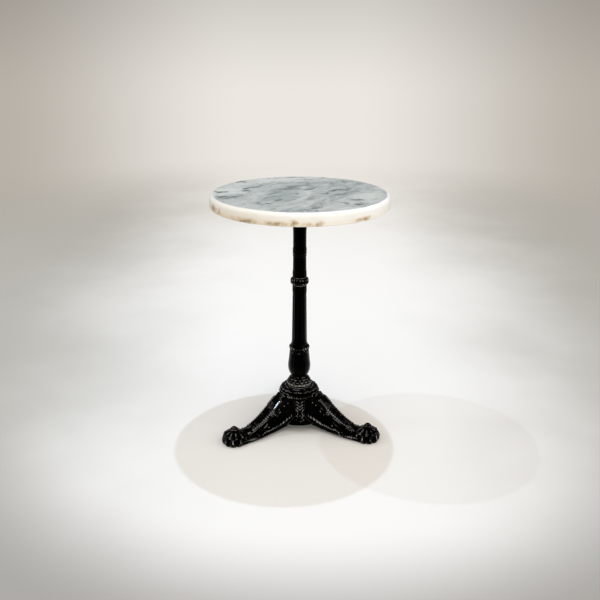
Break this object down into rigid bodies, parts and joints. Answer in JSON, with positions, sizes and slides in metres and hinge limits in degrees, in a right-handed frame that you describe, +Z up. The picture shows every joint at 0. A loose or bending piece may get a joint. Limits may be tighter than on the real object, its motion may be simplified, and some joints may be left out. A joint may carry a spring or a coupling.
{
  "type": "wine table",
  "caption": "Small round pedestal table: marble slab on a stacked cast-iron column with a scrolled tripod base and paw feet, held together by a tie rod.",
  "frame": {"origin": "on the floor under the column's axis", "axes": "+Z up along the column, +Y towards the rear leg, +X to the right of a viewer in front"},
  "size_m": [0.4199, 0.4265, 0.6],
  "materials": {
    "marble": "polished pale grey marble with darker veins and a creamy rim",
    "black_iron": "gloss black paint over a cast surface",
    "steel": "zinc-plated fasteners",
    "insert_brass": "turned brass",
    "pad_rubber": "soft matt pad"
  },
  "bodies": {
    "root": {"marble_top": "marble", "slab_inserts": "insert_brass", "top_spider": "black_iron", "spider_pads": "pad_rubber", "spider_screws": "steel", "spider_washers": "steel", "tie_rod": "steel", "rod_top_nut": "steel", "rod_top_washer": "steel", "rod_bottom_nut": "steel", "rod_bottom_washer": "steel", "capital": "black_iron", "upper_shaft": "black_iron", "column_ring": "black_iron", "lower_shaft": "black_iron", "bead_collar": "black_iron", "baluster": "black_iron", "base_collar": "black_iron", "hub": "black_iron", "leg_front_left": "black_iron", "leg_front_right": "black_iron", "leg_rear": "black_iron", "leg_bolts": "steel", "leg_washers": "steel"}
  },
  "joints": []
}
